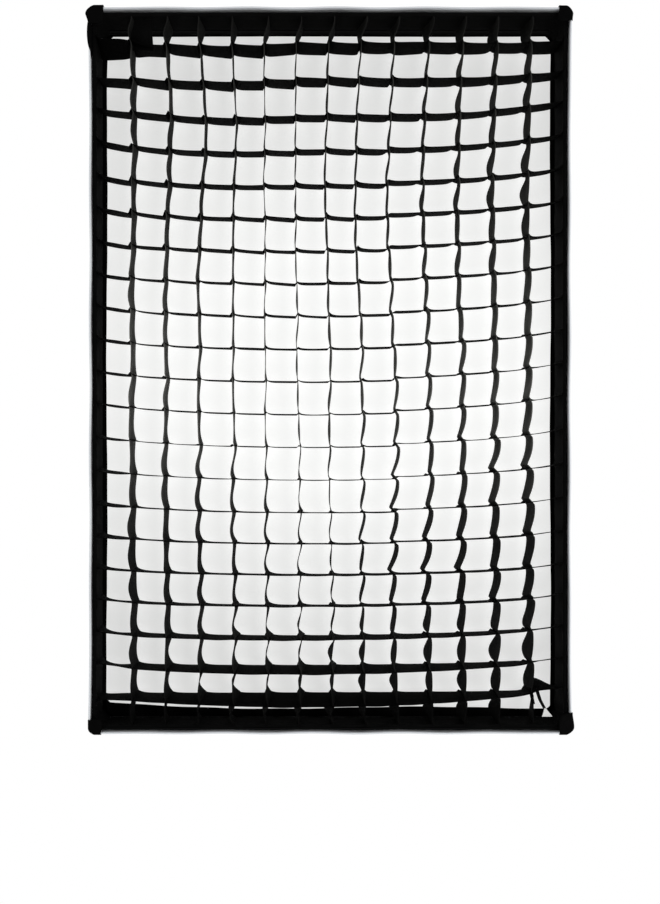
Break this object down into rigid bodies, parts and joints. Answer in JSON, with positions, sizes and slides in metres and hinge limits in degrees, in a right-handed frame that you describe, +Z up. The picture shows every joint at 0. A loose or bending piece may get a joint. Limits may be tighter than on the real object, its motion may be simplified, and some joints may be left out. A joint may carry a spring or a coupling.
{
  "type": "strip softbox",
  "caption": "Rectangular cloth softbox with a fabric grid over a white diffuser, bowed ribs on a turning speed ring, and a tilting bracket with a stud socket for a light stand.",
  "frame": {"origin": "middle of the stand socket's mouth", "axes": "+Z up along the socket, -Y towards the grid at the front, +X to the right seen from the front"},
  "size_m": [0.606, 0.53, 0.906],
  "materials": {
    "die_cast_black": "fine matt black powder coat",
    "ring_black": "satin black coat",
    "bare_aluminium": "turned, satin",
    "steel": "bright zinc",
    "black_screw": "black oxide",
    "brass_nut": "turned",
    "knob_plastic": "fine grain",
    "latch_red": "smooth",
    "washer_plastic": "smooth",
    "pad_rubber": "matt",
    "rib_steel": "drawn spring steel",
    "shell_cloth": "black coated nylon outside, silver inside",
    "binding_cloth": "grey woven tape",
    "pocket_cloth": "black leatherette",
    "tape_cloth": "hook and loop",
    "diffuser_cloth": "white translucent weave, lit from behind",
    "baffle_cloth": "white translucent weave",
    "elastic": "woven elastic",
    "grid_cloth": "black woven strip"
  },
  "bodies": {
    "stand_clamp": {"stand_clamp_body": "die_cast_black", "tilt_bolt": "steel", "friction_washers": "washer_plastic"},
    "stand_screw": {"stand_screw": "steel", "stand_knob": "knob_plastic"},
    "tilt_lever": {"tilt_lever": "knob_plastic", "lever_nut": "brass_nut"},
    "bracket": {"tilt_arm": "die_cast_black", "bayonet_ring": "die_cast_black", "bracket_screws": "black_screw", "clamp_frame": "ring_black", "frame_screws": "black_screw", "lower_pad": "pad_rubber", "latch_housing": "ring_black", "insert_ring": "bare_aluminium", "bearing_sleeve": "bare_aluminium", "retaining_ring": "bare_aluminium", "retaining_screws": "black_screw"},
    "press": {"press_plate": "ring_black", "press_pad": "pad_rubber", "press_rod": "steel", "press_knob": "knob_plastic"},
    "press_lock": {"press_lock_screw": "steel", "press_lock_knob": "knob_plastic"},
    "latch": {"latch_pin": "steel", "latch_knob": "latch_red"},
    "softbox": {"speed_ring": "ring_black", "rib_top_left": "rib_steel", "rib_top_right": "rib_steel", "rib_bottom_left": "rib_steel", "rib_bottom_right": "rib_steel", "shell_top": "shell_cloth", "shell_bottom": "shell_cloth", "shell_left": "shell_cloth", "shell_right": "shell_cloth", "rear_skirt": "shell_cloth", "edge_binding": "binding_cloth", "corner_pocket_top_left": "pocket_cloth", "corner_pocket_top_right": "pocket_cloth", "corner_pocket_bottom_left": "pocket_cloth", "corner_pocket_bottom_right": "pocket_cloth", "baffle_clips": "knob_plastic", "baffle_straps": "elastic", "inner_baffle": "baffle_cloth", "diffuser_loop_tape": "tape_cloth", "diffuser_hook_tape": "tape_cloth", "front_diffuser": "diffuser_cloth", "grid_loop_tape": "tape_cloth", "grid_hook_tape": "tape_cloth", "grid_border": "grid_cloth", "grid_upright_strips": "grid_cloth", "grid_level_strips": "grid_cloth"},
    "ring_lock_left": {"ring_lock_left": "steel", "lock_knob_left": "knob_plastic"},
    "ring_lock_right": {"ring_lock_right": "steel", "lock_knob_right": "knob_plastic"}
  },
  "joints": [
    {"name": "tilt", "type": "hinge", "parent": "stand_clamp", "child": "bracket", "pos_m": [0, 0, 0.062], "axis": [-1, 0, 0], "range_deg": [-30, 60]},
    {"name": "tilt_lever_turn", "type": "hinge", "parent": "stand_clamp", "child": "tilt_lever", "pos_m": [0.02, 0, 0.062], "axis": [1, 0, 0], "range_deg": [-10, 35]},
    {"name": "stand_screw_turn", "type": "hinge", "parent": "stand_clamp", "child": "stand_screw", "pos_m": [0, 0.03, 0.02], "axis": [0, 1, 0], "continuous": true},
    {"name": "press_slide", "type": "slide", "parent": "bracket", "child": "press", "axis": [0, 0, 1], "range_m": [-0.045, 0]},
    {"name": "press_lock_turn", "type": "hinge", "parent": "bracket", "child": "press_lock", "pos_m": [0, 0.012, 0.188], "axis": [0, 1, 0], "continuous": true},
    {"name": "latch_pull", "type": "slide", "parent": "bracket", "child": "latch", "axis": [0, 1, 0], "range_m": [0, 0.004], "stiffness_N_per_m": 400, "springref_m": -0.002},
    {"name": "softbox_turn", "type": "hinge", "parent": "bracket", "child": "softbox", "pos_m": [0, -0.063, 0.12], "axis": [0, 1, 0], "continuous": true},
    {"name": "ring_lock_left_turn", "type": "hinge", "parent": "softbox", "child": "ring_lock_left", "pos_m": [-0.085, -0.0538, 0.12], "axis": [-1, 0, 0], "continuous": true},
    {"name": "ring_lock_right_turn", "type": "hinge", "parent": "softbox", "child": "ring_lock_right", "pos_m": [0.085, -0.0538, 0.12], "axis": [1, 0, 0], "continuous": true}
  ]
}
